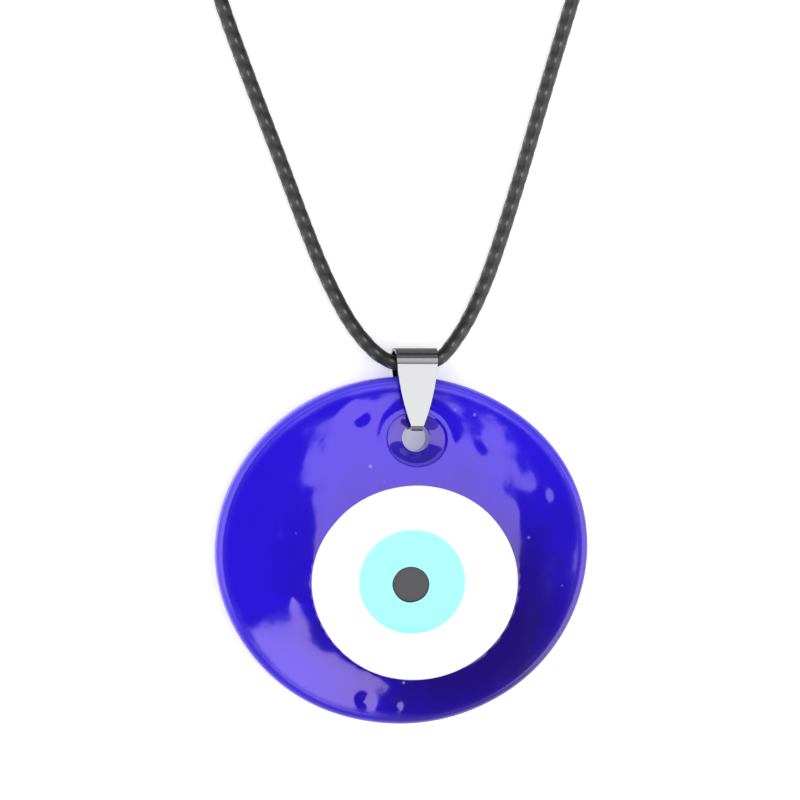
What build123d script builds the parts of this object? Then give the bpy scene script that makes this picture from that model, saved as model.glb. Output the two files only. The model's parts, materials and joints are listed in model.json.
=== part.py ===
"""Evil eye pendant on a braided cord, lying on its back. Millimetres, +Z up, origin under the
middle of the glass and its bail, on the table."""

import os
from math import atan, atan2, cos, degrees, pi, radians, sin, tan

from build123d import *

os.makedirs("parts", exist_ok=True)

# Glass disc, an oval with a domed front and a flat back
glass_width = 50.0
glass_height = 46.3
glass_centre = 5.8  # thickness in the middle
dome_drop = 2.0  # how much thinner the long ends are, before their edges are rounded
oval_turn = 3.5  # degrees by which the long axis leans
front_edge = 1.4
back_edge = 0.9

# Hole for the bail, with a shallow dish round it on the front
hole_x = 1.5
hole_from_top = 8.15
hole_diameter = 3.7
dish_width = 8.2
dish_height = 7.2
dish_depth = 1.1

# Eye layers, each let into the one under it, flush with the dome: width, height, depth, centre
white_size = (27.8, 25.9, 1.7)
white_centre = (1.3, -4.2)
iris_size = (14.5, 14.0, 1.2)
iris_centre = (0.8, -4.05)
pupil_size = (5.0, 4.85, 0.8)
pupil_centre = (0.6, -4.4)

# Bail, a bent steel strip that pinches the hole from both sides
strip = 0.45
leaf_clearance = 0.12
bail_width = 5.6  # at the top of the bend
middle_width = 4.55  # halfway between the prong and the top
tip_width = 1.5
bend_past_rim = 3.85  # from the glass's top edge to the outside of the bend
prong_from_hole = 1.4  # upper face of the prongs, above the hole's centre
prong_length = 1.5
bend_corner = 2.4  # outer radius where each leaf turns over the top
prong_curl = 0.75  # outer radius of the corner that turns the leaf's tip into the hole

# Cord and its fittings
cord_diameter = 2.0
loop_slack = 0.9  # between the cord and the inside of the bend
coil_middle = 10.5  # radius at the middle of the turns
turn_gap = 0.06
coil_layers = 3
tie_thickness = 0.4
tie_width = 3.0
tie_angle = -60.0  # place of the tie round the coil
cap_wall = 0.62
cap_length = 5.0
cap_bore = 3.0
fit = 0.05

# Chain, jump rings and clasp
wire = 0.9
eye_radius = 1.35  # middle of the wire eyes on the caps, the clasp and the drop
link_length = 6.4
link_width = 4.4
link_slack = 0.15
link_count = 7
chain_turn = 22.0  # degrees from one link to the next, so that the chain curls beside the coil
roll = 45.0  # links lie rolled to either side in turn
drop_length = 7.0
drop_radius = 1.6
clasp_thickness = 2.4
clasp_length = 10.0
clasp_width = 6.2
pin_diameter = 0.8
lever_thickness = 0.7
spring_thickness = 0.3
side_clearance = 0.08
table_gap = 0.02

# Worked out from the sizes above
half_width = glass_width / 2
half_height = glass_height / 2
dome_radius = (half_width**2 + dome_drop**2) / (2 * dome_drop)
hole_y = half_height - hole_from_top
prong_y = hole_y + prong_from_hole - strip
front_leaf = glass_centre - prong_y**2 / (2 * dome_radius) + leaf_clearance
bend_inner = (front_leaf + leaf_clearance) / 2
bend_middle = (front_leaf - leaf_clearance) / 2
bend_outer = bend_inner + strip
bend_top = half_height + bend_past_rim
cord_radius = cord_diameter / 2
cord_y = bend_top - strip - loop_slack - cord_radius
centre_y = -bend_past_rim / 2

# The glass leans a little: it rests on its lower back edge and on the bail's rear leaf
leaf_under = leaf_clearance + strip
lean = atan(leaf_under / (prong_y + strip + half_height - back_edge))
lift = (half_height - back_edge) * sin(lean) + table_gap
back = Plane(origin=(0, centre_y, lift), x_dir=(1, 0, 0), z_dir=(0, -sin(lean), cos(lean)))
side = Plane(origin=back.from_local_coords((hole_x, 0, 0)), x_dir=back.y_dir, z_dir=(1, 0, 0))
dome = back.from_local_coords((0, 0, glass_centre - dome_radius))
loop = back.from_local_coords((hole_x, cord_y, bend_middle))


def finish(builder, name):
    """Label a finished piece and write it as the node of that name."""
    builder.part.label = name
    export_step(builder.part, f"parts/{name}.step")


# ---------------------------------------------------------------- glass and its layers
with BuildPart() as glass_body:
    with BuildSketch(back):
        Ellipse(half_width, half_height, rotation=oval_turn)
    extrude(amount=glass_centre)
    with Locations(dome):
        Sphere(dome_radius, rotation=(0, 90, 0), mode=Mode.INTERSECT)
    fillet(glass_body.faces().filter_by(GeomType.SPHERE).edges(), front_edge)
    fillet(glass_body.faces().sort_by(Axis.Z)[0].edges(), back_edge)
    with BuildSketch(back.offset(glass_centre + dish_depth)):
        with Locations((hole_x, hole_y)):
            Ellipse(dish_width / 2 + dish_depth, dish_height / 2 + dish_depth)
    with BuildSketch(back.offset(glass_centre - hole_y**2 / (2 * dome_radius) - dish_depth)):
        with Locations((hole_x, hole_y)):
            Ellipse(dish_width / 4, dish_height / 4)
    loft(mode=Mode.SUBTRACT)
    with BuildSketch(back):
        with Locations((hole_x, hole_y)):
            Circle(hole_diameter / 2)
    extrude(amount=glass_centre, mode=Mode.SUBTRACT)
    with BuildSketch(back.offset(glass_centre - white_size[2])):
        with Locations(white_centre):
            Ellipse(white_size[0] / 2, white_size[1] / 2)
    extrude(amount=white_size[2], mode=Mode.SUBTRACT)
finish(glass_body, "glass_body")


def eye_layer(name, size, centre, inner_size=None, inner_centre=None):
    """A disc of coloured glass under the dome, with a pocket for the next one."""
    with BuildPart() as layer:
        with BuildSketch(back.offset(glass_centre - size[2])):
            with Locations(centre):
                Ellipse(size[0] / 2, size[1] / 2)
        extrude(amount=size[2])
        with Locations(dome):
            Sphere(dome_radius, rotation=(0, 90, 0), mode=Mode.INTERSECT)
        if inner_size:
            with BuildSketch(back.offset(glass_centre - inner_size[2])):
                with Locations(inner_centre):
                    Ellipse(inner_size[0] / 2, inner_size[1] / 2)
            extrude(amount=inner_size[2], mode=Mode.SUBTRACT)
    finish(layer, name)


eye_layer("white_layer", white_size, white_centre, iris_size, iris_centre)
eye_layer("iris_layer", iris_size, iris_centre, pupil_size, pupil_centre)
eye_layer("pupil", pupil_size, pupil_centre)

# ---------------------------------------------------------------- bail
bail_length = bend_top - prong_y
leaf_tip = prong_y + strip
with BuildPart() as bail:
    with BuildSketch(side) as strip_side:
        with Locations((prong_y, bend_middle)):
            Rectangle(bail_length, 2 * bend_outer, align=(Align.MIN, Align.CENTER))
        with Locations((leaf_tip, bend_middle)):
            inside_length = bail_length - 2 * strip
            Rectangle(inside_length, 2 * bend_inner, align=(Align.MIN, Align.CENTER), mode=Mode.SUBTRACT)
        with Locations((prong_y, bend_middle)):
            Rectangle(4 * strip, 2 * (bend_outer - prong_length), mode=Mode.SUBTRACT)
        for across, inward in ((bend_outer, 0), (bend_inner, strip)):
            corners = strip_side.vertices().filter_by(lambda v: abs(abs(v.Y - bend_middle) - across) < fit)
            fillet(corners.filter_by(lambda v: v.X < prong_y + bail_length / 2), prong_curl - inward)
            corners = strip_side.vertices().filter_by(lambda v: abs(abs(v.Y - bend_middle) - across) < fit)
            fillet(corners.filter_by(lambda v: v.X > bend_top - strip - fit), bend_corner - inward)
    extrude(amount=bail_width, both=True)
    with BuildSketch(back.offset(-leaf_under)):
        with BuildLine():
            right = Spline(
                (hole_x + tip_width / 2, leaf_tip),
                (hole_x + middle_width / 2, (leaf_tip + bend_top) / 2),
                (hole_x + bail_width / 2, bend_top),
            )
            top = Line(right @ 1, (hole_x + bail_width / 2, bend_top + bend_outer))
            foot = Line(right @ 0, (hole_x + tip_width / 2, prong_y - strip))
            mirror(about=Plane.YZ.offset(hole_x))
            Line(top @ 1, (hole_x - bail_width / 2, bend_top + bend_outer))
            Line(foot @ 1, (hole_x - tip_width / 2, prong_y - strip))
        make_face()
    extrude(amount=2 * bend_outer, mode=Mode.INTERSECT)
finish(bail, "bail")

# ---------------------------------------------------------------- cord
on_table = cord_radius + table_gap
coil_pitch = cord_diameter + turn_gap
coil_base = tie_thickness + on_table + turn_gap
coil_top = coil_base + (coil_layers - 1) * coil_pitch
outer_turn = coil_middle + coil_pitch / 2
inner_turn = coil_middle - coil_pitch / 2
half_link = (link_width - wire) / 2
rest = half_link * sin(radians(roll)) + wire / 2 + table_gap
cap_rest = max(rest, cord_radius + cap_wall + table_gap)
coil_x = -15.2
coil_y = 64.85

# The cord's route, from its end in the chain's cap, through the bail and up to the coil. Places
# are measured from the middle of the bail's loop in Y, and from the origin in X.
lead_route = [
    (25.6, 58.95, cap_rest),
    (24.65, 53.75, cap_rest),
    (22.95, 47.95, on_table),
    (19.6, 36.95, on_table),
    (16.3, 25.65, on_table),
    (12.6, 13.95, on_table),
    (10.2, 8.25, on_table + 0.3),
    (7.7, 3.95, on_table + 1.25),
    (4.35, 0.0, loop.Z),
    (-2.0, 0.0, loop.Z),
    (-6.35, 4.4, on_table + 1.25),
    (-9.6, 10.55, on_table + 0.1),
    (-12.3, 16.85, on_table),
    (-16.7, 28.55, on_table),
    (-20.9, 39.35, on_table),
    (-24.5, 49.15, on_table),
    (-26.2, 55.95, on_table + 0.15),
    (coil_x - outer_turn, 60.55, coil_base),
    (coil_x - outer_turn, coil_y, coil_base),
]
# From the coil's top turn down to the clasp's cap
tail_route = [
    (coil_x, coil_y + outer_turn, coil_top),
    (coil_x + 3.8, coil_y + outer_turn, coil_top),
    (-6.6, 77.55, coil_top - 1.0),
    (-2.0, 79.85, coil_top - 2.5),
    (2.6, 82.35, cap_rest),
    (7.3, 84.7, cap_rest),
]
lead_points = [Vector(x, loop.Y + y, z) for x, y, z in lead_route]
tail_points = [Vector(x, loop.Y + y, z) for x, y, z in tail_route]


def bend_radii(points):
    """The radius of the arc at each corner of a route."""
    radii = []
    for before, here, after in zip(points, points[1:], points[2:]):
        turn = (here - before).get_angle(after - here)
        run = min((here - before).length, (after - here).length)
        radii.append(0.45 * run / tan(radians(turn) / 2))
    return radii


def cord_tube(name, points):
    """A stretch of the cord along straight runs joined by tangent arcs."""
    radii = bend_radii(points)
    print(name, "radii", [round(r, 1) for r in radii])
    with BuildPart() as tube:
        with BuildLine():
            path = FilletPolyline(*points, radius=radii)
        with BuildSketch(Plane(origin=points[0], z_dir=points[1] - points[0])):
            Circle(cord_radius)
        sweep()
    full = pi * cord_radius**2 * path.length
    print(name, "length", round(path.length, 2), "volume ratio", round(tube.part.volume / full, 4))
    finish(tube, name)


cord_tube("cord_lead", lead_points)
cord_tube("cord_tail", tail_points)

with BuildPart() as cord_coil:
    with BuildSketch(Plane.XY.offset(coil_base - cord_radius)):
        with Locations((coil_x, loop.Y + coil_y)):
            Circle(outer_turn + cord_radius)
            Circle(inner_turn - cord_radius, mode=Mode.SUBTRACT)
    extrude(amount=coil_top - coil_base + cord_diameter)
    fillet(cord_coil.edges().filter_by(GeomType.CIRCLE), cord_radius * 0.8)
    for point, towards in ((lead_points[-1], lead_points[-2]), (tail_points[0], tail_points[1])):
        with BuildSketch(Plane(origin=point, z_dir=towards - point)):
            Circle(cord_radius + 4 * fit)
        extrude(amount=outer_turn, mode=Mode.SUBTRACT)
finish(cord_coil, "cord_coil")

# The tie goes round all the turns at the coil's far side
outward = (cos(radians(tie_angle)), sin(radians(tie_angle)), 0)
forward = (-sin(radians(tie_angle)), cos(radians(tie_angle)), 0)
tie_turn = Plane(origin=(coil_x, loop.Y + coil_y, 0), x_dir=outward, z_dir=forward)
with BuildPart() as storage_tie:
    tall = coil_top - coil_base + cord_diameter + 2 * fit
    arc_rise = tie_width**2 / 8 / (inner_turn - cord_radius)
    wide = coil_pitch + cord_diameter + 2 * fit + 2 * arc_rise
    with BuildSketch(tie_turn):
        with Locations((coil_middle, -(coil_base + coil_top) / 2)):
            RectangleRounded(wide + 2 * tie_thickness, tall + 2 * tie_thickness, tie_thickness + fit)
            Rectangle(wide, tall, mode=Mode.SUBTRACT)
    extrude(amount=tie_width / 2, both=True)
finish(storage_tie, "storage_tie")


# ---------------------------------------------------------------- caps, rings, chain
def heading(angle):
    return Vector(cos(radians(angle)), sin(radians(angle)), 0)


def rolled(origin, angle, side_roll):
    """A plane at origin whose X runs along the chain and whose normal is rolled about it."""
    along = heading(angle)
    across = Vector(-along.Y, along.X, 0)
    normal = Vector(0, 0, 1) * cos(radians(side_roll)) + across * sin(radians(side_roll))
    return Plane(origin=origin, x_dir=along, z_dir=normal)


def oval_ring(name, plane, length, width):
    """A closed ring of round wire; a length equal to the width gives a round one."""
    with BuildPart() as ring:
        straight = (length - width) / 2
        middle = (width - wire) / 2
        with BuildLine(plane):
            CenterArc((straight, 0), middle, -90, 180)
            CenterArc((-straight, 0), middle, 90, 180)
            if straight > 0:
                Line((straight, middle), (-straight, middle))
                Line((-straight, -middle), (straight, -middle))
        with BuildSketch(Plane(origin=plane.from_local_coords((straight, -middle, 0)), z_dir=plane.x_dir)):
            Circle(wire / 2)
        sweep()
    finish(ring, name)



def cord_cap(name, points, backwards):
    """A crimp cap over the end of the cord, with a wire eye on its far end."""
    end, inside = (points[0], points[1]) if backwards else (points[-1], points[-2])
    along = (end - inside).normalized()
    angle = degrees(atan2(along.Y, along.X))
    eye = rolled(end + along * (cap_length - cap_bore + eye_radius), angle, roll)
    with BuildPart() as cap:
        with BuildSketch(Plane(origin=end - along * cap_bore, z_dir=along)):
            Circle(cord_radius + cap_wall)
        extrude(amount=cap_length)
        fillet(cap.edges().filter_by(GeomType.CIRCLE), cap_wall * 0.45)
        with BuildSketch(Plane(origin=end - along * cap_bore, z_dir=along)):
            Circle(cord_radius + fit)
        extrude(amount=cap_bore, mode=Mode.SUBTRACT)
        with BuildSketch(Plane(origin=eye.from_local_coords((0, eye_radius, 0)), z_dir=eye.x_dir)):
            Circle(wire * 0.4)
        revolve(axis=Axis(eye.origin, eye.z_dir))
    finish(cap, name)
    return eye.origin, angle


eye_reach = eye_radius - wire * 0.4
ring_reach = link_width / 2 - wire
link_reach = link_length / 2 - wire
chain_start, chain_heading = cord_cap("chain_cap", lead_points, True)
clasp_start, clasp_heading = cord_cap("clasp_cap", tail_points, False)


def next_centre(centre, angle, reach, next_angle, next_reach):
    """Where the next ring's middle lies, hung in the one before with a little slack."""
    hinge = centre + heading(angle) * (reach - link_slack / 2)
    return hinge, hinge + heading(next_angle) * (next_reach - link_slack / 2)


centre, angle, reach = chain_start, chain_heading, eye_reach
hinges = []
for number in range(link_count + 2):
    new_angle = angle + chain_turn
    new_reach = ring_reach if number == 0 else link_reach
    if number == link_count + 1:
        new_reach = eye_reach
    hinge, centre = next_centre(centre, angle, reach, new_angle, new_reach)
    hinges.append(hinge)
    angle, reach = new_angle, new_reach
    side_roll = -roll if number % 2 == 0 else roll
    plane = rolled(centre, angle, side_roll)
    if number == 0:
        oval_ring("chain_ring", plane, link_width, link_width)
    elif number <= link_count:
        oval_ring(f"chain_link_{number:02d}", plane, link_length, link_width)

# A solid teardrop ends the chain, with its own eye
with BuildPart() as end_drop:
    flat = Plane(origin=centre, x_dir=heading(angle), z_dir=(0, 0, 1))
    with BuildSketch(flat):
        with BuildLine():
            neck = Line((eye_radius - wire * 0.2, 0), (eye_radius - wire * 0.2, wire / 2))
            flank = Spline(
                neck @ 1,
                (eye_radius + drop_length - drop_radius, drop_radius),
                (eye_radius + drop_length, 0),
                tangents=((1, 0.25), (0, -1)),
            )
            Line(flank @ 1, neck @ 0)
        make_face()
    revolve(axis=Axis(centre, heading(angle)))
    with BuildSketch(Plane(origin=plane.from_local_coords((0, eye_radius, 0)), z_dir=plane.x_dir)):
        Circle(wire * 0.4)
    revolve(axis=Axis(centre, plane.z_dir))
finish(end_drop, "end_drop")

# ---------------------------------------------------------------- clasp
ring_angle = clasp_heading - 8
ring_hinge, ring_centre = next_centre(clasp_start, clasp_heading, eye_reach, ring_angle, ring_reach)
oval_ring("clasp_ring", rolled(ring_centre, ring_angle, -roll), link_width, link_width)
clasp_angle = ring_angle - 8
clasp_hinge, clasp_eye = next_centre(ring_centre, ring_angle, ring_reach, clasp_angle, eye_reach)
for side, points in (("chain", hinges), ("clasp", [ring_hinge, clasp_hinge])):
    print(side, "turns about", [(round(point.X, 2), round(point.Y, 2)) for point in points])
claw_middle = clasp_eye + heading(clasp_angle) * (eye_radius + clasp_length / 2 - wire / 3)
claw = Plane(
    origin=(claw_middle.X, claw_middle.Y, clasp_thickness / 2 + table_gap),
    x_dir=heading(clasp_angle),
    z_dir=(0, 0, 1),
)
outline = (clasp_length / 2, clasp_width / 2)
opening = (clasp_length * 0.34, clasp_width * 0.3)
opening_shift = clasp_length * 0.035
pivot = (-clasp_length * 0.37, clasp_width * 0.21)
hub_radius = 0.85
nose = clasp_length * 0.21
shoulder = -clasp_length * 0.23
slot = lever_thickness + spring_thickness + 3 * side_clearance
lever_floor = -slot / 2 + side_clearance
spring_floor = lever_floor + lever_thickness + side_clearance

with BuildPart() as clasp_body:
    with BuildSketch(claw.offset(-clasp_thickness / 2)):
        Ellipse(*outline)
    extrude(amount=clasp_thickness)
    fillet(clasp_body.faces().filter_by(GeomType.PLANE).edges(), clasp_thickness / 5)
    with BuildSketch(claw):
        with Locations((opening_shift, 0)):
            Ellipse(*opening)
        with Locations((shoulder, 0.3)):
            Rectangle(nose - shoulder, clasp_width, align=(Align.MIN, Align.MIN))
    extrude(amount=clasp_thickness, both=True, mode=Mode.SUBTRACT)
    with BuildSketch(claw):
        with Locations((-clasp_length, 0.1)):
            Rectangle(clasp_length + shoulder + side_clearance, clasp_width, align=(Align.MIN, Align.MIN))
    extrude(amount=slot / 2, both=True, mode=Mode.SUBTRACT)
    with BuildSketch(claw):
        with Locations(pivot):
            Circle(pin_diameter / 2)
    extrude(amount=clasp_thickness / 2, both=True, mode=Mode.SUBTRACT)
    tail_eye = rolled(clasp_eye, clasp_angle, roll)
    with BuildSketch(Plane(origin=tail_eye.from_local_coords((0, eye_radius, 0)), z_dir=tail_eye.x_dir)):
        Circle(wire * 0.4)
    revolve(axis=Axis(clasp_eye, tail_eye.z_dir))
finish(clasp_body, "clasp_body")

with BuildPart() as clasp_lever:
    with BuildSketch(claw.offset(lever_floor)):
        Ellipse(outline[0] - fit, outline[1] - fit)
        with Locations((opening_shift, 0)):
            Ellipse(*opening, mode=Mode.SUBTRACT)
        with Locations((pivot[0], 0.3)):
            Rectangle(clasp_length, clasp_width, align=(Align.MIN, Align.MIN), mode=Mode.INTERSECT)
        with Locations(pivot):
            Circle(nose - pivot[0] - side_clearance, mode=Mode.INTERSECT)
        with Locations(pivot):
            Circle(hub_radius)
        with Locations((shoulder + hub_radius / 2, clasp_width * 0.38)):
            RectangleRounded(hub_radius * 1.6, clasp_width * 0.4, 0.4)
        with Locations(pivot):
            Circle(pin_diameter / 2 + fit, mode=Mode.SUBTRACT)
    extrude(amount=lever_thickness)
finish(clasp_lever, "clasp_lever")

with BuildPart() as clasp_pin:
    with BuildSketch(claw.offset(-clasp_thickness / 2)):
        with Locations(pivot):
            Circle(pin_diameter / 2)
    extrude(amount=clasp_thickness)
finish(clasp_pin, "clasp_pin")

with BuildPart() as clasp_spring:
    with BuildSketch(claw.offset(spring_floor)):
        with Locations(pivot):
            Circle(hub_radius - side_clearance)
        with Locations((pivot[0], pivot[1] + hub_radius * 0.6)):
            Rectangle(hub_radius * 1.8, 0.25, align=(Align.MIN, Align.CENTER))
        with Locations(pivot):
            Circle(pin_diameter / 2 + fit, mode=Mode.SUBTRACT)
    extrude(amount=spring_thickness)
finish(clasp_spring, "clasp_spring")
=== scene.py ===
"""Evil eye pendant: a domed glass eye on a steel pinch bail and a braided cord, lying on a table."""

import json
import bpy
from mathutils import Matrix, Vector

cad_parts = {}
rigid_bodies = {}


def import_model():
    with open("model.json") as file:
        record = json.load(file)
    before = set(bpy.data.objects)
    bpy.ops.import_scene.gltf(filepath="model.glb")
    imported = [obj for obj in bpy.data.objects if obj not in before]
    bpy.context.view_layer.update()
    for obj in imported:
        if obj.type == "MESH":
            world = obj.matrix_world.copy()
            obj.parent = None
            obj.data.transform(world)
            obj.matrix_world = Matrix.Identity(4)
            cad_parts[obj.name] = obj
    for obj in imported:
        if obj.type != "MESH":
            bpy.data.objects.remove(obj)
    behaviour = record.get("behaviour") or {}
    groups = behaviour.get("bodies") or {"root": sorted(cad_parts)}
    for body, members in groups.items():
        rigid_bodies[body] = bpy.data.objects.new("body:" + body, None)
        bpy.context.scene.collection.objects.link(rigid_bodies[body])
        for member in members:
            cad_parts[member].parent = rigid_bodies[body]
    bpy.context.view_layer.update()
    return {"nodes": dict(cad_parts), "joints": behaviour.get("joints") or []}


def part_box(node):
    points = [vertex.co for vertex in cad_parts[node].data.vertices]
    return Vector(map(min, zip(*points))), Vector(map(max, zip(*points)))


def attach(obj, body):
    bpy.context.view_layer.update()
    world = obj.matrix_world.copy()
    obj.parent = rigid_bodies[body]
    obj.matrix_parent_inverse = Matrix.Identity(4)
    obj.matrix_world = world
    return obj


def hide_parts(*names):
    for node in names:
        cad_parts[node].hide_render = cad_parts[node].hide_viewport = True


bl_info = {
    "name": "Evil Eye Pendant",
    "version": (1, 0, 0),
    "blender": (4, 5, 0),
    "location": "View3D > Sidebar > Pendant",
    "description": "Builds the glass eye, its bail, its braided cord and the stage round them",
    "category": "Object",
}

from math import atan2, cos, exp, hypot, pi, radians, sin

import bpy
from mathutils import Matrix, Quaternion, Vector, noise

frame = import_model()

MM = 0.001
JOINTS = {joint["name"]: joint for joint in frame["joints"]}
LOOP = Vector(JOINTS["bail_swing"]["pos_m"])
HOLE = Vector(JOINTS["glass_swing"]["pos_m"])
FACE = Vector(JOINTS["glass_swing"]["axis"]).normalized()
GLASS_LOW, GLASS_HIGH = (Vector(corner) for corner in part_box("glass_body"))
FITTINGS = (
    ["chain_cap", "clasp_cap", "clasp_ring", "clasp_body", "clasp_lever", "clasp_pin", "chain_ring"]
    + [node for node in sorted(frame["nodes"]) if node.startswith("chain_link")]
    + ["end_drop"]
)


# ------------------------------------------------------------------ sizes and colours
class PENDANT_PG_glass(bpy.types.PropertyGroup):
    """Sizes of the glass, in the plane of its flat back."""

    width: bpy.props.FloatProperty(
        name="Width", description="Glass from side to side", default=50.0 * MM, unit="LENGTH"
    )
    height: bpy.props.FloatProperty(
        name="Height", description="Glass from top to bottom", default=46.3 * MM, unit="LENGTH"
    )
    thickness: bpy.props.FloatProperty(
        name="Thickness", description="Glass in the middle", default=5.8 * MM, unit="LENGTH"
    )
    dome_drop: bpy.props.FloatProperty(
        name="Dome drop", description="Fall of the dome at the long ends", default=2.0 * MM, unit="LENGTH"
    )
    turn: bpy.props.FloatProperty(
        name="Turn", description="Lean of the long axis", default=radians(3.5), subtype="ANGLE"
    )
    ripple: bpy.props.FloatProperty(
        name="Ripple", description="Height of the hand-made waves", default=0.11 * MM, unit="LENGTH"
    )
    cobalt: bpy.props.StringProperty(name="Cobalt", description="Glass body, sRGB", default="#210cc2")
    white: bpy.props.StringProperty(name="White", description="White layer, sRGB", default="#fdfdfe")
    iris: bpy.props.StringProperty(name="Iris", description="Pale blue layer, sRGB", default="#9cfbfd")
    pupil: bpy.props.StringProperty(name="Pupil", description="Dark dot, sRGB", default="#2c2a2e")


class PENDANT_PG_cord(bpy.types.PropertyGroup):
    """Sizes of the braided cord."""

    diameter: bpy.props.FloatProperty(
        name="Diameter", description="Over the braid", default=2.0 * MM, unit="LENGTH"
    )
    length: bpy.props.FloatProperty(
        name="Length", description="From cap to cap", default=450.0 * MM, unit="LENGTH"
    )
    pick: bpy.props.FloatProperty(
        name="Pick", description="One stitch along the cord", default=2.3 * MM, unit="LENGTH"
    )
    strands: bpy.props.IntProperty(
        name="Strands", description="Stitches round the cord each way", default=6, min=2
    )
    colour: bpy.props.StringProperty(name="Colour", description="Waxed cotton, sRGB", default="#2b2b2c")


class PENDANT_PG_bail(bpy.types.PropertyGroup):
    """The steel of the bail and of the cord's fittings."""

    steel: bpy.props.StringProperty(name="Steel", description="Polished steel, sRGB", default="#a4a4a6")


# ------------------------------------------------------------------ small helpers
def linear(hex_colour):
    """An sRGB hex colour as linear RGBA."""
    channels = [int(hex_colour[i : i + 2], 16) / 255 for i in (1, 3, 5)]
    return [c / 12.92 if c < 0.04045 else ((c + 0.055) / 1.055) ** 2.4 for c in channels] + [1.0]


def add_node(tree, kind, links=(), **settings):
    """A node with its settings; links pairs an input with another node's output."""
    node = tree.nodes.new(kind)
    for name, value in settings.items():
        if name in node.bl_rna.properties:
            setattr(node, name, value)
        else:
            node.inputs[name.replace("_", " ")].default_value = value
    for socket, source in links:
        tree.links.new(source, node.inputs[socket])
    return node


def new_material(name):
    """An empty material with its shader and output joined."""
    material = bpy.data.materials.new(name)
    material.use_nodes = True
    tree = material.node_tree
    tree.nodes.clear()
    shader = tree.nodes.new("ShaderNodeBsdfPrincipled")
    output = tree.nodes.new("ShaderNodeOutputMaterial")
    tree.links.new(shader.outputs[0], output.inputs[0])
    return material, tree, shader


def deselect():
    """Leave nothing selected or active."""
    for item in bpy.context.view_layer.objects:
        item.select_set(False)
    bpy.context.view_layer.objects.active = None


def paint(piece, material):
    """Give a piece one material in place of any other."""
    piece.data.materials.clear()
    piece.data.materials.append(material)


def settle(piece, name, material, angle=40):
    """Name a finished piece, smooth it and give it its material."""
    piece.name = name
    piece.data.name = name
    paint(piece, material)
    deselect()
    piece.select_set(True)
    bpy.context.view_layer.objects.active = piece
    bpy.ops.object.transform_apply(location=True, rotation=True, scale=True)
    bpy.ops.object.shade_smooth_by_angle(angle=radians(angle))
    deselect()


def ease(value, low, high):
    """0 below low, 1 above high, and a smooth rise between them."""
    share = min(max((value - low) / (high - low), 0.0), 1.0)
    return share * share * (3 - 2 * share)


def ripple_at(x, y, size, seed):
    """Smooth noise between about -1 and 1, with bumps about size millimetres across."""
    return noise.noise(Vector((x / size, y / size, seed)))


# ------------------------------------------------------------------ the glass's shape
def glass_matrix():
    """From the glass's own millimetres, flat back at 0, to the frame's metres."""
    across = Vector((1, 0, 0))
    upward = FACE.cross(across)
    middle = (GLASS_LOW + GLASS_HIGH) / 2
    rise = (HOLE.y - middle.y) * upward.z / upward.y
    origin = Vector((middle.x, middle.y, HOLE.z - rise))
    rows = Matrix((across, upward, FACE)).transposed().to_4x4()
    return Matrix.Translation(origin) @ rows @ Matrix.Scale(MM, 4)


LYING = glass_matrix()
HOLE_X, HOLE_Y = (LYING.inverted() @ HOLE).xy
HOLE_RADIUS = 1.85
DISH = (4.15, 3.65)
DISH_DEPTH = 1.25
LIP_HEIGHT = 0.07
EYE_SWELL = 0.10
POCKET_DEPTH = 0.3
FRONT_HEIGHT = 5.5
# Where a lens's flat front ends and its rounded edge ends, as shares of the way from pole to waist
FRONT_SHARE = 0.8
EDGE_SHARE = 0.96
# Each oval: its middle, its half width and half height, and its turn
WHITE = ((1.3, -4.2), (13.9, 12.95), 0.0)
IRIS = ((0.8, -4.05), (7.25, 7.0), 0.0)
PUPIL = ((0.6, -4.4), (2.5, 2.42), 0.0)
# Marks left by the tools in the soft glass: x, y, radius and depth in millimetres
DENTS = (
    (-6.2, 18.0, 1.1, 0.10),
    (-8.6, 18.9, 1.6, -0.05),
    (18.9, 7.2, 0.9, 0.06),
    (-15.8, 2.3, 1.2, 0.05),
    (-5.4, -20.0, 0.9, 0.09),
    (-1.2, -20.4, 0.8, 0.07),
    (-20.2, -1.3, 0.6, 0.05),
    (-16.9, -3.4, 0.9, 0.03),
    (15.2, 5.0, 1.8, -0.06),
    (-15.3, -5.2, 1.9, -0.07),
    (10.9, 13.9, 1.3, 0.04),
    (20.9, 10.2, 0.5, 0.04),
)


def disc_oval(settings):
    """The whole glass as an oval."""
    return ((0.0, 0.0), (settings.width / MM / 2, settings.height / MM / 2), settings.turn)


def outline(shape, angle, seed, wobble):
    """Distance from an oval's middle to its hand-made edge in one direction."""
    (_, (across, up), turn) = shape
    along = angle - turn
    plain = across * up / hypot(up * cos(along), across * sin(along))
    return plain + wobble * noise.noise(Vector((cos(angle) * 1.6, sin(angle) * 1.6, seed)))


def inside(shape, x, y):
    """How deep a point lies inside an oval, in millimetres; negative outside."""
    (middle, (across, up), turn) = shape
    away = Vector((x - middle[0], y - middle[1])).to_3d()
    away.rotate(Matrix.Rotation(-turn, 3, "Z"))
    share = hypot(away.x / across, away.y / up)
    return (1 - share) * min(across, up)


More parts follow.
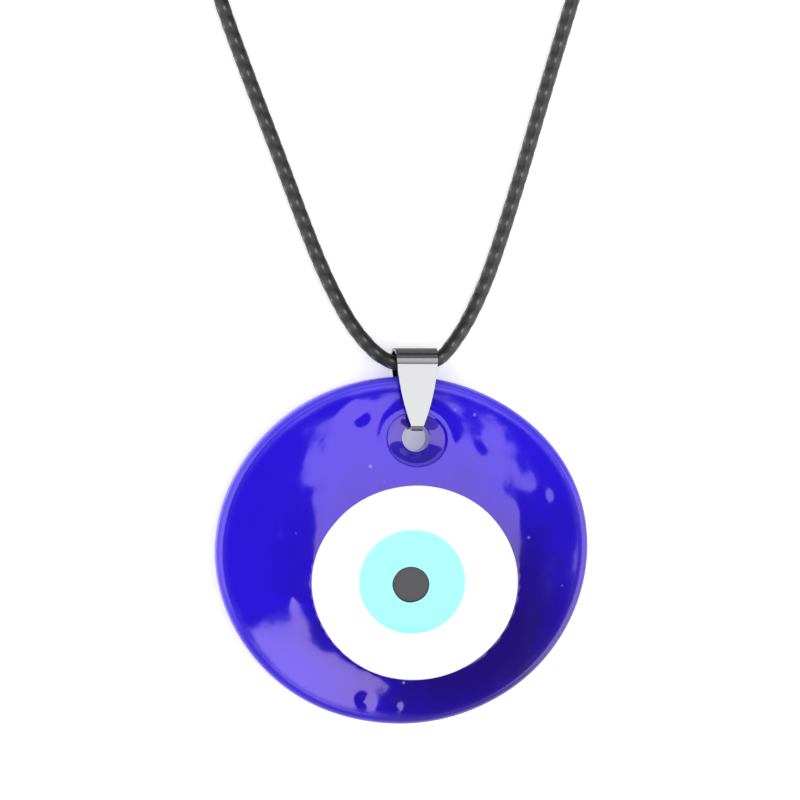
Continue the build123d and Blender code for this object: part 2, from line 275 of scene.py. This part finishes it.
def front(x, y):
    """Height of the glass's front: the dome, the eye's low swell, waves and the dish."""
    glass = bpy.context.scene.pendant_glass
    half = glass.width / MM / 2
    drop = glass.dome_drop / MM
    height = glass.thickness / MM - drop * (x * x + y * y) / half**2
    swell = inside(WHITE, x, y)
    height += EYE_SWELL * ease(swell, -6.0, 0.5)
    ripple = glass.ripple / MM
    for strength, size, seed in ((1.0, 11.0, 3.7), (0.22, 4.2, 8.1), (0.05, 1.7, 5.5)):
        height += ripple * strength * ripple_at(x, y, size, seed)
    for dent_x, dent_y, radius, depth in DENTS:
        height -= depth * exp(-((x - dent_x) ** 2 + (y - dent_y) ** 2) / radius**2)
    share = hypot((x - HOLE_X) / DISH[0], (y - HOLE_Y) / DISH[1])
    height += LIP_HEIGHT * exp(-(((share - 1.08) / 0.22) ** 2))
    height -= DISH_DEPTH * (1 - ease(share, 0.38, 1.0))
    return height


def lens(name, shape, proud, floor, edge, segments, rings, seed, wobble, pocket=None, back_edge=None):
    """A flat-backed disc of glass with a rounded rim, proud of the glass's front by so much and down
    to floor; it sinks by a pocket under the layer above."""
    deselect()
    bpy.ops.mesh.primitive_uv_sphere_add(segments=segments, ring_count=rings, radius=1)
    piece = bpy.context.object
    middle = shape[0]
    back_edge = edge if back_edge is None else back_edge
    for vertex in piece.data.vertices:
        flat = hypot(vertex.co.x, vertex.co.y)
        share = atan2(flat, vertex.co.z) / (pi / 2)
        angle = atan2(vertex.co.y, vertex.co.x) if flat > 1e-6 else 0.0
        reach = outline(shape, angle, seed, wobble)
        upper = share <= 1
        rounding = edge if upper else back_edge
        share = share if upper else 2 - share
        bend = min(max((share - FRONT_SHARE) / (EDGE_SHARE - FRONT_SHARE), 0.0), 1.0) * pi / 2
        radius = (reach - rounding) * min(share / FRONT_SHARE, 1.0) + rounding * sin(bend)
        x = middle[0] + radius * cos(angle)
        y = middle[1] + radius * sin(angle)
        shoulder = min(radius, reach - rounding)
        top = front(middle[0] + shoulder * cos(angle), middle[1] + shoulder * sin(angle)) + proud
        waist = (top - edge + floor + back_edge) / 2
        height = top - edge * (1 - cos(bend)) if upper else floor + back_edge * (1 - cos(bend))
        height += (waist - height) * ease(share, EDGE_SHARE, 1.0)
        if pocket and upper:
            height -= POCKET_DEPTH * ease(inside(pocket, x, y), 0.3, 0.8)
        vertex.co = LYING @ Vector((x, y, height))
    piece.data.update()
    piece.name = name
    return piece


# ------------------------------------------------------------------ materials
def oval_share(tree, place, shape):
    """A socket that is 0 in an oval's middle and 1 at its edge."""
    (middle, (across, up), turn) = shape
    mapping = add_node(
        tree,
        "ShaderNodeMapping",
        [("Vector", place)],
        vector_type="TEXTURE",
        Location=LYING @ Vector((*middle, FRONT_HEIGHT)),
        Rotation=(0, 0, turn),
        Scale=(across * MM, up * MM, 1.0),
    )
    apart = add_node(tree, "ShaderNodeSeparateXYZ", [("Vector", mapping.outputs[0])])
    flat = add_node(tree, "ShaderNodeCombineXYZ", [("X", apart.outputs["X"]), ("Y", apart.outputs["Y"])])
    return add_node(
        tree, "ShaderNodeVectorMath", [(0, flat.outputs[0])], operation="LENGTH"
    ).outputs["Value"]


def ranged(tree, value, low, high, top=1.0):
    """A socket that runs from 0 at low to top at high."""
    return add_node(
        tree, "ShaderNodeMapRange", [("Value", value)], From_Min=low, From_Max=high, To_Max=top
    ).outputs["Result"]


def cobalt_glass(settings):
    """Soda-lime glass stained with cobalt and fire-polished: deep, wet-looking blue with painted shade,
    darker towards the lower right, next to the thick glass round the eye and down in the dish, and painted
    light that pales its thin rim, with seeds and streaks and a mirror-smooth skin."""
    material, tree, shader = new_material("cobalt soda-lime glass")
    place = add_node(tree, "ShaderNodeTexCoord").outputs["Object"]
    streaks = add_node(
        tree, "ShaderNodeTexNoise", [("Vector", place)], Scale=90.0, Detail=3.0, Distortion=1.2
    ).outputs["Fac"]
    parts = add_node(tree, "ShaderNodeSeparateXYZ", [("Vector", place)])
    # Painted light and shade: the blue is painted brighter to the left and darker towards the lower right
    side = ranged(tree, parts.outputs["X"], -0.026, 0.022)
    low = ranged(tree, parts.outputs["Y"], 0.012, -0.026, 0.85)
    # Painted shade: darker next to the white, where the glass is thick round the eye
    near = ranged(tree, oval_share(tree, place, WHITE), 1.5, 1.0, 0.26)
    # Painted shade: darker down in the dish round the hole
    dished = ((HOLE_X, HOLE_Y), DISH, 0.0)
    dish = ranged(tree, oval_share(tree, place, dished), 1.1, 0.9, 0.30)
    shade = add_node(tree, "ShaderNodeMath", [(0, side), (1, low), (2, near)], operation="MULTIPLY_ADD")
    shade = add_node(tree, "ShaderNodeMath", [(0, shade.outputs[0]), (1, dish)])
    shade = add_node(tree, "ShaderNodeMath", [(0, streaks), (2, shade.outputs[0])], operation="MULTIPLY_ADD")
    shade.inputs[1].default_value = 0.5
    ramp = add_node(tree, "ShaderNodeValToRGB", [("Fac", shade.outputs[0])])
    stops = ramp.color_ramp.elements
    stops[0].position = 0.16
    stops[0].color = linear("#2710dc")
    stops[1].position = 0.98
    stops[1].color = linear("#1b0872")
    middle = stops.new(0.5)
    middle.color = linear(settings.cobalt)
    # Painted light: the thin rim is painted paler, as if light came through it, most of all at the top
    rim = ranged(tree, oval_share(tree, place, disc_oval(settings)), 0.925, 0.985)
    upper = ranged(tree, parts.outputs["Y"], 0.006, 0.019, 0.55)
    pale = add_node(tree, "ShaderNodeMath", [(0, rim), (1, upper)], operation="MULTIPLY").outputs[0]
    rimmed = add_node(
        tree, "ShaderNodeMix", [("Factor", pale), (6, ramp.outputs["Color"])], data_type="RGBA"
    )
    rimmed.inputs[7].default_value = linear("#4f48ee")
    # Seeds: small bubbles, 0.2 to 0.4 mm, each a fleck paler than the glass
    cells = add_node(tree, "ShaderNodeTexVoronoi", [("Vector", place)], Scale=420.0, Randomness=1.0)
    seed = ranged(tree, cells.outputs["Distance"], 0.12, 0.04)
    some = add_node(tree, "ShaderNodeSeparateColor", [("Color", cells.outputs["Color"])])
    few = ranged(tree, some.outputs["Red"], 0.74, 0.92, 0.8)
    fleck = add_node(tree, "ShaderNodeMath", [(0, seed), (1, few)], operation="MULTIPLY").outputs[0]
    mixed = add_node(
        tree, "ShaderNodeMix", [("Factor", fleck), (6, rimmed.outputs[2])], data_type="RGBA"
    )
    mixed.inputs[7].default_value = linear("#8f8cf6")
    tree.links.new(mixed.outputs[2], shader.inputs["Base Color"])
    # Fine unevenness of the fire-polished skin, about 2 mm across
    dent = add_node(tree, "ShaderNodeTexNoise", [("Vector", place)], Scale=420.0, Detail=2.0).outputs["Fac"]
    bump = add_node(tree, "ShaderNodeBump", [("Height", dent)], Strength=0.035, Distance=0.0002)
    tree.links.new(bump.outputs[0], shader.inputs["Normal"])
    # The edge was rubbed down, so it shines softly; the front is a mirror
    rubbed = add_node(
        tree, "ShaderNodeMapRange", [("Value", rim)], To_Min=0.06, To_Max=0.30
    ).outputs["Result"]
    tree.links.new(rubbed, shader.inputs["Roughness"])
    shader.inputs["IOR"].default_value = 1.52
    shader.inputs["Specular IOR Level"].default_value = 1.0
    shader.inputs["Specular Tint"].default_value = (0.80, 0.58, 1.0, 1.0)
    return material


def layer_glass(name, colour, edge_colour, shape, fade, roughness=0.07):
    """Opaque poured glass: even colour with a faint cloud, its edge drawn out into the layer below."""
    material, tree, shader = new_material(name)
    place = add_node(tree, "ShaderNodeTexCoord").outputs["Object"]
    distance = oval_share(tree, place, shape)
    cloud = add_node(
        tree, "ShaderNodeTexNoise", [("Vector", place)], Scale=260.0, Detail=3.0
    ).outputs["Fac"]
    ragged = add_node(tree, "ShaderNodeMath", [(0, cloud), (2, distance)], operation="MULTIPLY_ADD")
    ragged.inputs[1].default_value = fade * 0.8
    share = add_node(
        tree,
        "ShaderNodeMapRange",
        [("Value", ragged.outputs[0])],
        From_Min=1.0 - fade * 0.8,
        From_Max=1.0 + fade * 0.5,
        interpolation_type="SMOOTHSTEP",
    ).outputs["Result"]
    mixed = add_node(tree, "ShaderNodeMix", [("Factor", share)], data_type="RGBA")
    mixed.inputs[6].default_value = linear(colour)
    mixed.inputs[7].default_value = linear(edge_colour)
    misty = add_node(
        tree,
        "ShaderNodeMix",
        [("Factor", cloud), (6, mixed.outputs[2])],
        data_type="RGBA",
        blend_type="MULTIPLY",
    )
    misty.inputs[7].default_value = (0.96, 0.965, 0.975, 1)
    tree.links.new(misty.outputs[2], shader.inputs["Base Color"])
    shader.inputs["Roughness"].default_value = roughness
    shader.inputs["IOR"].default_value = 1.52
    return material


def polished_steel(name, colour, roughness, painted_dark_band_from=None):
    """Stamped stainless steel, tumble-polished: clear reflections broken by faint hairlines. Given a place
    in Y, a dark reflection is painted over the bend from there onwards."""
    material, tree, shader = new_material(name)
    place = add_node(tree, "ShaderNodeTexCoord").outputs["Object"]
    drawn = add_node(tree, "ShaderNodeMapping", [("Vector", place)], Scale=(1.0, 0.12, 1.0))
    hairs = add_node(
        tree, "ShaderNodeTexNoise", [("Vector", drawn.outputs[0])], Scale=9000.0, Detail=2.0
    ).outputs["Fac"]
    spread = add_node(
        tree, "ShaderNodeMapRange", [("Value", hairs)], To_Min=roughness * 0.7, To_Max=roughness * 1.5
    ).outputs["Result"]
    tree.links.new(spread, shader.inputs["Roughness"])
    bump = add_node(tree, "ShaderNodeBump", [("Height", hairs)], Strength=0.06, Distance=0.00002)
    tree.links.new(bump.outputs[0], shader.inputs["Normal"])
    shader.inputs["Base Color"].default_value = linear(colour)
    if painted_dark_band_from:
        # Painted reflection: the steel over the bend is painted dark, standing in for a dark reflection
        along = add_node(tree, "ShaderNodeSeparateXYZ", [("Vector", place)]).outputs["Y"]
        share = ranged(tree, along, painted_dark_band_from, painted_dark_band_from + 1.05 * MM)
        tone = add_node(tree, "ShaderNodeValToRGB", [("Fac", share)])
        tone.color_ramp.elements[0].position = 0.0
        tone.color_ramp.elements[0].color = linear(colour)
        tone.color_ramp.elements[1].position = 1.0
        tone.color_ramp.elements[1].color = linear("#29292b")
        tone.color_ramp.elements.new(0.16).color = linear("#6c6c6e")
        tone.color_ramp.elements.new(0.6).color = linear("#404042")
        tree.links.new(tone.outputs["Color"], shader.inputs["Base Color"])
    shader.inputs["Metallic"].default_value = 1.0
    return material


def waxed_cotton(settings):
    """Braided cotton soaked in black wax: dull between the stitches, where the colour is painted dark as
    painted shade, and a greasy shine on their crowns, which also carry a painted highlight.
    """
    material, tree, shader = new_material("black waxed cotton")
    along = add_node(tree, "ShaderNodeUVMap", uv_map="cord").outputs[0]
    # Yarn fibres about 0.12 mm apart along each stitch
    fibres = add_node(tree, "ShaderNodeTexNoise", [("Vector", along)], Scale=9.0, Detail=4.0).outputs["Fac"]
    crown = add_node(tree, "ShaderNodeAttribute", attribute_name="crown", attribute_type="GEOMETRY")
    # Painted shade darkens the grooves between the stitches and a painted highlight lightens the crowns
    tone = add_node(tree, "ShaderNodeValToRGB", [("Fac", crown.outputs["Fac"])])
    tone.color_ramp.elements[0].position = 0.62
    tone.color_ramp.elements[0].color = linear("#0b0b0c")
    tone.color_ramp.elements[1].position = 1.0
    tone.color_ramp.elements[1].color = linear("#7a7a7c")
    tone.color_ramp.elements.new(0.94).color = linear(settings.colour)
    tree.links.new(tone.outputs["Color"], shader.inputs["Base Color"])
    gloss = add_node(
        tree, "ShaderNodeMapRange", [("Value", crown.outputs["Fac"])], To_Min=0.62, To_Max=0.26
    ).outputs["Result"]
    tree.links.new(gloss, shader.inputs["Roughness"])
    bump = add_node(tree, "ShaderNodeBump", [("Height", fibres)], Strength=0.25, Distance=0.00005)
    tree.links.new(bump.outputs[0], shader.inputs["Normal"])
    return material


def tie_plastic():
    """Soft white polythene strip, matt, with the fine ribs of its roller."""
    material, tree, shader = new_material("white polythene strip")
    place = add_node(tree, "ShaderNodeTexCoord").outputs["Object"]
    ribs = add_node(
        tree, "ShaderNodeTexWave", [("Vector", place)], Scale=900.0, Distortion=0.4
    ).outputs["Fac"]
    tone = add_node(tree, "ShaderNodeMix", [("Factor", ribs)], data_type="RGBA")
    tone.inputs[6].default_value = linear("#d9dadb")
    tone.inputs[7].default_value = linear("#ececec")
    tree.links.new(tone.outputs[2], shader.inputs["Base Color"])
    bump = add_node(tree, "ShaderNodeBump", [("Height", ribs)], Strength=0.3, Distance=0.0001)
    tree.links.new(bump.outputs[0], shader.inputs["Normal"])
    shader.inputs["Roughness"].default_value = 0.5
    return material


def plain_paper():
    """Bright translucent backdrop paper on a lit table, dead matt, so that shadows stay faint."""
    material, tree, shader = new_material("white backdrop paper")
    shader.inputs["Base Color"].default_value = linear("#fdfdfd")
    shader.inputs["Roughness"].default_value = 0.9
    shader.inputs["Specular IOR Level"].default_value = 0.1
    shader.inputs["Emission Color"].default_value = (1, 1, 1, 1)
    shader.inputs["Emission Strength"].default_value = 0.3
    return material


# ------------------------------------------------------------------ the cord's route
STITCH_RELIEF = 0.20
STITCH_ROUNDNESS = 0.6
UV_TURNS = 6.0
CORD_RADIUS = 1.0
TABLE_GAP = 0.02
ON_TABLE = CORD_RADIUS + TABLE_GAP
TURN_GAP = 0.06
PITCH = 2 * CORD_RADIUS + TURN_GAP
COIL_BASE = 0.4 + ON_TABLE + TURN_GAP
COIL_TOP = COIL_BASE + 2 * PITCH
COIL_MIDDLE = 10.5
OUTER_TURN = COIL_MIDDLE + PITCH / 2
INNER_TURN = COIL_MIDDLE - PITCH / 2
COIL_X = -15.2
COIL_Y = 64.85
CAP_Z = 1.707
LOOP_Z = LOOP.z / MM
COIL_TURNS = 4.25
TURN_POINTS = 24

# From the chain's cap through the bail and up to the coil: millimetres, from the loop in Y
LEAD_ROUTE = [
    (25.6, 58.95, CAP_Z),
    (24.65, 53.75, CAP_Z),
    (22.95, 47.95, ON_TABLE),
    (19.6, 36.95, ON_TABLE),
    (16.3, 25.65, ON_TABLE),
    (12.6, 13.95, ON_TABLE),
    (10.2, 8.25, ON_TABLE + 0.3),
    (7.7, 3.95, ON_TABLE + 1.25),
    (4.35, 0.0, LOOP_Z),
    (-2.0, 0.0, LOOP_Z),
    (-6.35, 4.4, ON_TABLE + 1.25),
    (-9.6, 10.55, ON_TABLE + 0.1),
    (-12.3, 16.85, ON_TABLE),
    (-16.7, 28.55, ON_TABLE),
    (-20.9, 39.35, ON_TABLE),
    (-24.5, 49.15, ON_TABLE),
    (-26.2, 55.95, ON_TABLE + 0.15),
    (COIL_X - OUTER_TURN, 60.55, COIL_BASE),
]
TAIL_ROUTE = [
    (COIL_X + 3.8, COIL_Y + OUTER_TURN, COIL_TOP),
    (-6.6, 77.55, COIL_TOP - 1.0),
    (-2.0, 79.85, COIL_TOP - 2.5),
    (2.6, 82.35, CAP_Z),
    (7.3, 84.7, CAP_Z),
]


def coil_route():
    """The coil's turns: outside, inside, up a layer, outside again, and up once more."""
    points = []
    # Each ease below is a change of lane or layer, spread over the turns between its two numbers
    for step in range(int(COIL_TURNS * TURN_POINTS) + 1):
        turn = step / TURN_POINTS
        inward = ease(turn, 0.85, 1.0) - ease(turn, 2.55, 2.70)
        layer = ease(turn, 1.70, 1.85) + ease(turn, 3.40, 3.55)
        radius = OUTER_TURN + (INNER_TURN - OUTER_TURN) * inward
        angle = pi - 2 * pi * turn
        height = COIL_BASE + PITCH * layer
        points.append((COIL_X + radius * cos(angle), COIL_Y + radius * sin(angle), height))
    return points


def cord_line(name, points):
    """One smooth open NURBS spline through the route, and the points along it."""
    curve = bpy.data.curves.new(name, "CURVE")
    curve.dimensions = "3D"
    curve.resolution_u = 16
    spline = curve.splines.new("NURBS")
    spline.points.add(len(points) - 1)
    for point, (x, y, z) in zip(spline.points, points):
        point.co = (x * MM, LOOP.y + y * MM, z * MM, 1)
    spline.order_u = 3
    spline.use_endpoint_u = True
    holder = bpy.data.objects.new(name, curve)
    bpy.context.scene.collection.objects.link(holder)
    bpy.context.view_layer.update()
    line = bpy.data.meshes.new_from_object(holder)
    path = [vertex.co.copy() for vertex in line.vertices]
    bpy.data.meshes.remove(line)
    bpy.data.objects.remove(holder)
    bpy.data.curves.remove(curve)
    return path


def spaced(path, step):
    """Points a fixed step apart along a path, and the last one."""
    points = [path[0]]
    left = step
    for start, end in zip(path, path[1:]):
        run = (end - start).length
        while left < run:
            points.append(start.lerp(end, left / run))
            left += step
        left -= run
    return points + [path[-1]]


def braided_tube(name, path, radius, pick, strands, around=40):
    """A closed tube along path with a round braid's stitches in relief."""
    verts = []
    crowns = []
    faces = []
    normal = Vector((0, 0, 1))
    travelled = 0.0
    spots = []
    for index, point in enumerate(path):
        ahead = path[min(index + 1, len(path) - 1)] - path[max(index - 1, 0)]
        tangent = ahead.normalized()
        normal = (normal - tangent * normal.dot(tangent)).normalized()
        binormal = tangent.cross(normal)
        if index:
            travelled += (point - path[index - 1]).length
        for spoke in range(around):
            angle = 2 * pi * spoke / around
            climb = travelled / pick
            lay = strands * angle / (2 * pi)
            stitch = abs(cos(pi * (climb + lay) / 2) * cos(pi * (climb - lay) / 2))
            stitch = max(stitch, abs(sin(pi * (climb + lay) / 2) * sin(pi * (climb - lay) / 2)))
            crown = stitch**STITCH_ROUNDNESS
            away = radius * (1 - STITCH_RELIEF + STITCH_RELIEF * crown)
            verts.append(point + (normal * cos(angle) + binormal * sin(angle)) * away)
            crowns.append(crown)
            spots.append((spoke / around * UV_TURNS, travelled / MM))
    for ring in range(len(path) - 1):
        for spoke in range(around):
            low = ring * around
            turned = (spoke + 1) % around
            faces.append((low + spoke, low + turned, low + around + turned, low + around + spoke))
    verts += [path[0], path[-1]]
    crowns += [0.0, 0.0]
    spots += [(0.0, 0.0), (0.0, travelled / MM)]
    last = (len(path) - 1) * around
    for spoke in range(around):
        turned = (spoke + 1) % around
        faces.append((len(verts) - 2, turned, spoke))
        faces.append((len(verts) - 1, last + spoke, last + turned))
    mesh = bpy.data.meshes.new(name)
    mesh.from_pydata(verts, [], faces)
    mesh.attributes.new("crown", "FLOAT", "POINT").data.foreach_set("value", crowns)
    uv = mesh.uv_layers.new(name="cord")
    for loop in mesh.loops:
        uv.data[loop.index].uv = spots[loop.vertex_index]
    mesh.update()
    piece = bpy.data.objects.new(name, mesh)
    bpy.context.scene.collection.objects.link(piece)
    return piece


# ------------------------------------------------------------------ operators
SENSOR = 36.0


class PENDANT_OT_stage(bpy.types.Operator):
    """Lay the pale floor, hang the soft lights and stand the camera"""

    bl_idname = "pendant.stage"
    bl_label = "Stage"

    def execute(self, context):
        deselect()
        bpy.ops.mesh.primitive_plane_add(size=3.0)
        floor = context.object
        settle(floor, "floor", plain_paper())

        # The camera stands over the pendant, a little to its left
        lean = radians(8.0)
        distance = 450 * MM
        seen = 107.0 * MM
        below_loop = 4.62 * MM
        target = Vector((-0.36 * MM, LOOP.y - below_loop, 2.6 * MM))
        deselect()
        bpy.ops.object.camera_add(
            location=target + distance * Vector((-sin(lean), 0, cos(lean))), rotation=(0, -lean, 0)
        )
        camera = context.object
        camera.name = "camera"
        camera.data.sensor_width = SENSOR
        camera.data.lens = SENSOR * distance / seen
        camera.data.clip_start = 0.01
        context.scene.camera = camera

        # The round softbox and the low one are the two pale patches on the glass
        self.softbox("top_softbox", (0.096, 0.004, 0.60), (0.320, 0.320), 0.52, "DISK", 0)
        self.softbox("low_softbox", (-0.058, -0.256, 0.60), (0.20, 0.13), 0.25, "RECTANGLE", -22)
        self.softbox("left_softbox", (-0.95, 0.10, 0.60), (1.2, 1.2), 8.5, "RECTANGLE", 0)
        self.softbox("right_softbox", (0.95, -0.20, 0.60), (1.2, 1.2), 8.5, "RECTANGLE", 0)
        self.softbox("back_softbox", (0.02, 0.50, 0.70), (0.9, 0.45), 1.2, "RECTANGLE", 0)

        world = bpy.data.worlds.new("studio")
        context.scene.world = world
        world.use_nodes = True
        tree = world.node_tree
        tree.nodes.clear()
        # A dim ceiling, pale walls to the front and sides, and a dimmer wall behind
        place = add_node(tree, "ShaderNodeTexCoord").outputs["Generated"]
        way = add_node(tree, "ShaderNodeSeparateXYZ", [("Vector", place)])
        walls = ranged(tree, way.outputs["Z"], 0.88, 0.78, 0.50)
        open_side = ranged(tree, way.outputs["Y"], 0.45, 0.25, 0.6)
        shared = add_node(tree, "ShaderNodeMath", [(0, open_side)], operation="ADD")
        shared.inputs[1].default_value = 0.4
        light = add_node(
            tree, "ShaderNodeMath", [(0, walls), (1, shared.outputs[0])], operation="MULTIPLY_ADD"
        )
        light.inputs[2].default_value = 0.08
        sky = add_node(tree, "ShaderNodeBackground", [("Color", light.outputs[0])], Strength=1.0)
        add_node(tree, "ShaderNodeOutputWorld", [("Surface", sky.outputs[0])])
        context.scene.view_settings.view_transform = "Standard"
        return {"FINISHED"}

    def softbox(self, name, place, size, power, shape, roll):
        """A soft light of a shape and size, turned towards the pendant and rolled by degrees."""
        deselect()
        turn = Vector(place).to_track_quat("Z", "Y") @ Quaternion((0, 0, 1), radians(roll))
        bpy.ops.object.light_add(type="AREA", location=place, rotation=turn.to_euler())
        lamp = bpy.context.object
        lamp.name = name
        lamp.data.shape = shape
        lamp.data.size = size[0]
        if shape == "RECTANGLE":
            lamp.data.size_y = size[1]
        lamp.data.energy = power


class PENDANT_OT_cord(bpy.types.Operator):
    """Braid the cord along its route"""

    bl_idname = "pendant.cord"
    bl_label = "Braided cord"

    def execute(self, context):
        settings = context.scene.pendant_cord
        path = cord_line("cord_route", LEAD_ROUTE + coil_route() + TAIL_ROUTE)
        path = spaced(path, 0.2 * MM)
        radius = settings.diameter / 2
        cord = braided_tube("braided_cord", path, radius, settings.pick, settings.strands)
        settle(cord, "braided_cord", waxed_cotton(settings), 80)
        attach(cord, "cord")
        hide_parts("cord_lead", "cord_coil", "cord_tail")
        return {"FINISHED"}


class PENDANT_OT_glass(bpy.types.Operator):
    """Pour the glass disc with its dish, hole and hand-made waves"""

    bl_idname = "pendant.glass"
    bl_label = "Cobalt glass"

    def execute(self, context):
        settings = context.scene.pendant_glass
        glass = lens(
            "cobalt_disc",
            disc_oval(settings),
            proud=0.0,
            floor=0.02,
            edge=1.1,
            segments=320,
            rings=130,
            seed=2.2,
            wobble=0.16,
            pocket=WHITE,
            back_edge=0.9,
        )
        deselect()
        bpy.ops.mesh.primitive_cylinder_add(vertices=64, radius=HOLE_RADIUS * MM, depth=20 * MM)
        drill = context.object
        drill.matrix_world = LYING @ Matrix.Translation((HOLE_X, HOLE_Y, 3)) @ Matrix.Scale(1 / MM, 4)
        cut = glass.modifiers.new("hole", "BOOLEAN")
        cut.operation = "DIFFERENCE"
        cut.object = drill
        cut.solver = "EXACT"
        deselect()
        glass.select_set(True)
        context.view_layer.objects.active = glass
        bpy.ops.object.modifier_apply(modifier="hole")
        bpy.data.objects.remove(drill)
        settle(glass, "cobalt_disc", cobalt_glass(settings), 35)
        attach(glass, "glass")
        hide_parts("glass_body")
        return {"FINISHED"}


class PENDANT_OT_eye(bpy.types.Operator):
    """Drop the white, pale blue and dark layers on the glass"""

    bl_idname = "pendant.eye"
    bl_label = "Eye layers"

    def execute(self, context):
        settings = context.scene.pendant_glass
        white = lens(
            "white_disc", WHITE, proud=0.07, floor=4.0, edge=0.18, segments=256, rings=90,
            seed=6.1, wobble=0.12, pocket=IRIS,
        )
        opal = layer_glass("opal white glass", settings.white, "#eef0fb", WHITE, 0.02)
        settle(white, "white_disc", opal)
        iris = lens(
            "iris_disc", IRIS, proud=0.10, floor=4.5, edge=0.10, segments=192, rings=60,
            seed=4.4, wobble=0.10, pocket=PUPIL,
        )
        pale_opal = layer_glass("pale blue opal glass", settings.iris, "#dffcfe", IRIS, 0.035)
        settle(iris, "iris_disc", pale_opal)
        pupil = lens(
            "pupil_disc", PUPIL, proud=0.13, floor=4.9, edge=0.10, segments=96, rings=40,
            seed=9.4, wobble=0.06,
        )
        smoke = layer_glass("smoky dark glass", settings.pupil, "#19171a", PUPIL, 0.2)
        settle(pupil, "pupil_disc", smoke)
        for piece, node, slot in (
            (white, "white_layer", "white_glass"),
            (iris, "iris_layer", "pale_blue_glass"),
            (pupil, "pupil", "dark_glass"),
        ):
            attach(piece, "glass")
            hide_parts(node)
        return {"FINISHED"}


class PENDANT_OT_bail(bpy.types.Operator):
    """Polish the pinch bail and paint a dark reflection over its bend"""

    bl_idname = "pendant.bail"
    bl_label = "Pinch bail"

    def execute(self, context):
        settings = context.scene.pendant_bail
        bend_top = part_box("bail")[1][1]
        # The painted dark reflection starts 1.1 mm below the top of the bend
        painted_dark_band_from = bend_top - 1.1 * MM
        steel = polished_steel("polished stainless bail", settings.steel, 0.09, painted_dark_band_from)
        paint(frame["nodes"]["bail"], steel)
        return {"FINISHED"}


class PENDANT_OT_fittings(bpy.types.Operator):
    """Polish the caps, rings, clasp, chain and drop, and finish the tie"""

    bl_idname = "pendant.fittings"
    bl_label = "Fittings and tie"

    def execute(self, context):
        settings = context.scene.pendant_bail
        steel = polished_steel("polished stainless fittings", settings.steel, 0.14)
        for name in FITTINGS:
            paint(frame["nodes"][name], steel)
        paint(frame["nodes"]["clasp_spring"], polished_steel("drawn spring steel", "#9b9b9d", 0.3))
        paint(frame["nodes"]["storage_tie"], tie_plastic())
        return {"FINISHED"}


class PENDANT_PT_panel(bpy.types.Panel):
    """Every step of the pendant, in the order it is made"""

    bl_label = "Evil eye pendant"
    bl_idname = "PENDANT_PT_panel"
    bl_space_type = "VIEW_3D"
    bl_region_type = "UI"
    bl_category = "Pendant"

    def draw(self, context):
        for operator in OPERATORS:
            self.layout.operator(operator.bl_idname)


OPERATORS = (
    PENDANT_OT_stage,
    PENDANT_OT_cord,
    PENDANT_OT_glass,
    PENDANT_OT_eye,
    PENDANT_OT_bail,
    PENDANT_OT_fittings,
)
GROUPS = {
    "pendant_glass": PENDANT_PG_glass,
    "pendant_cord": PENDANT_PG_cord,
    "pendant_bail": PENDANT_PG_bail,
}


def register():
    for name, group in GROUPS.items():
        bpy.utils.register_class(group)
        setattr(bpy.types.Scene, name, bpy.props.PointerProperty(type=group))
    for item in (*OPERATORS, PENDANT_PT_panel):
        bpy.utils.register_class(item)


def unregister():
    for item in (PENDANT_PT_panel, *reversed(OPERATORS)):
        bpy.utils.unregister_class(item)
    for name, group in reversed(GROUPS.items()):
        delattr(bpy.types.Scene, name)
        bpy.utils.unregister_class(group)


def main():
    """Build everything in order."""
    register()
    bpy.ops.pendant.stage()
    bpy.ops.pendant.cord()
    bpy.ops.pendant.glass()
    bpy.ops.pendant.eye()
    bpy.ops.pendant.bail()
    bpy.ops.pendant.fittings()


if __name__ == "__main__":
    main()
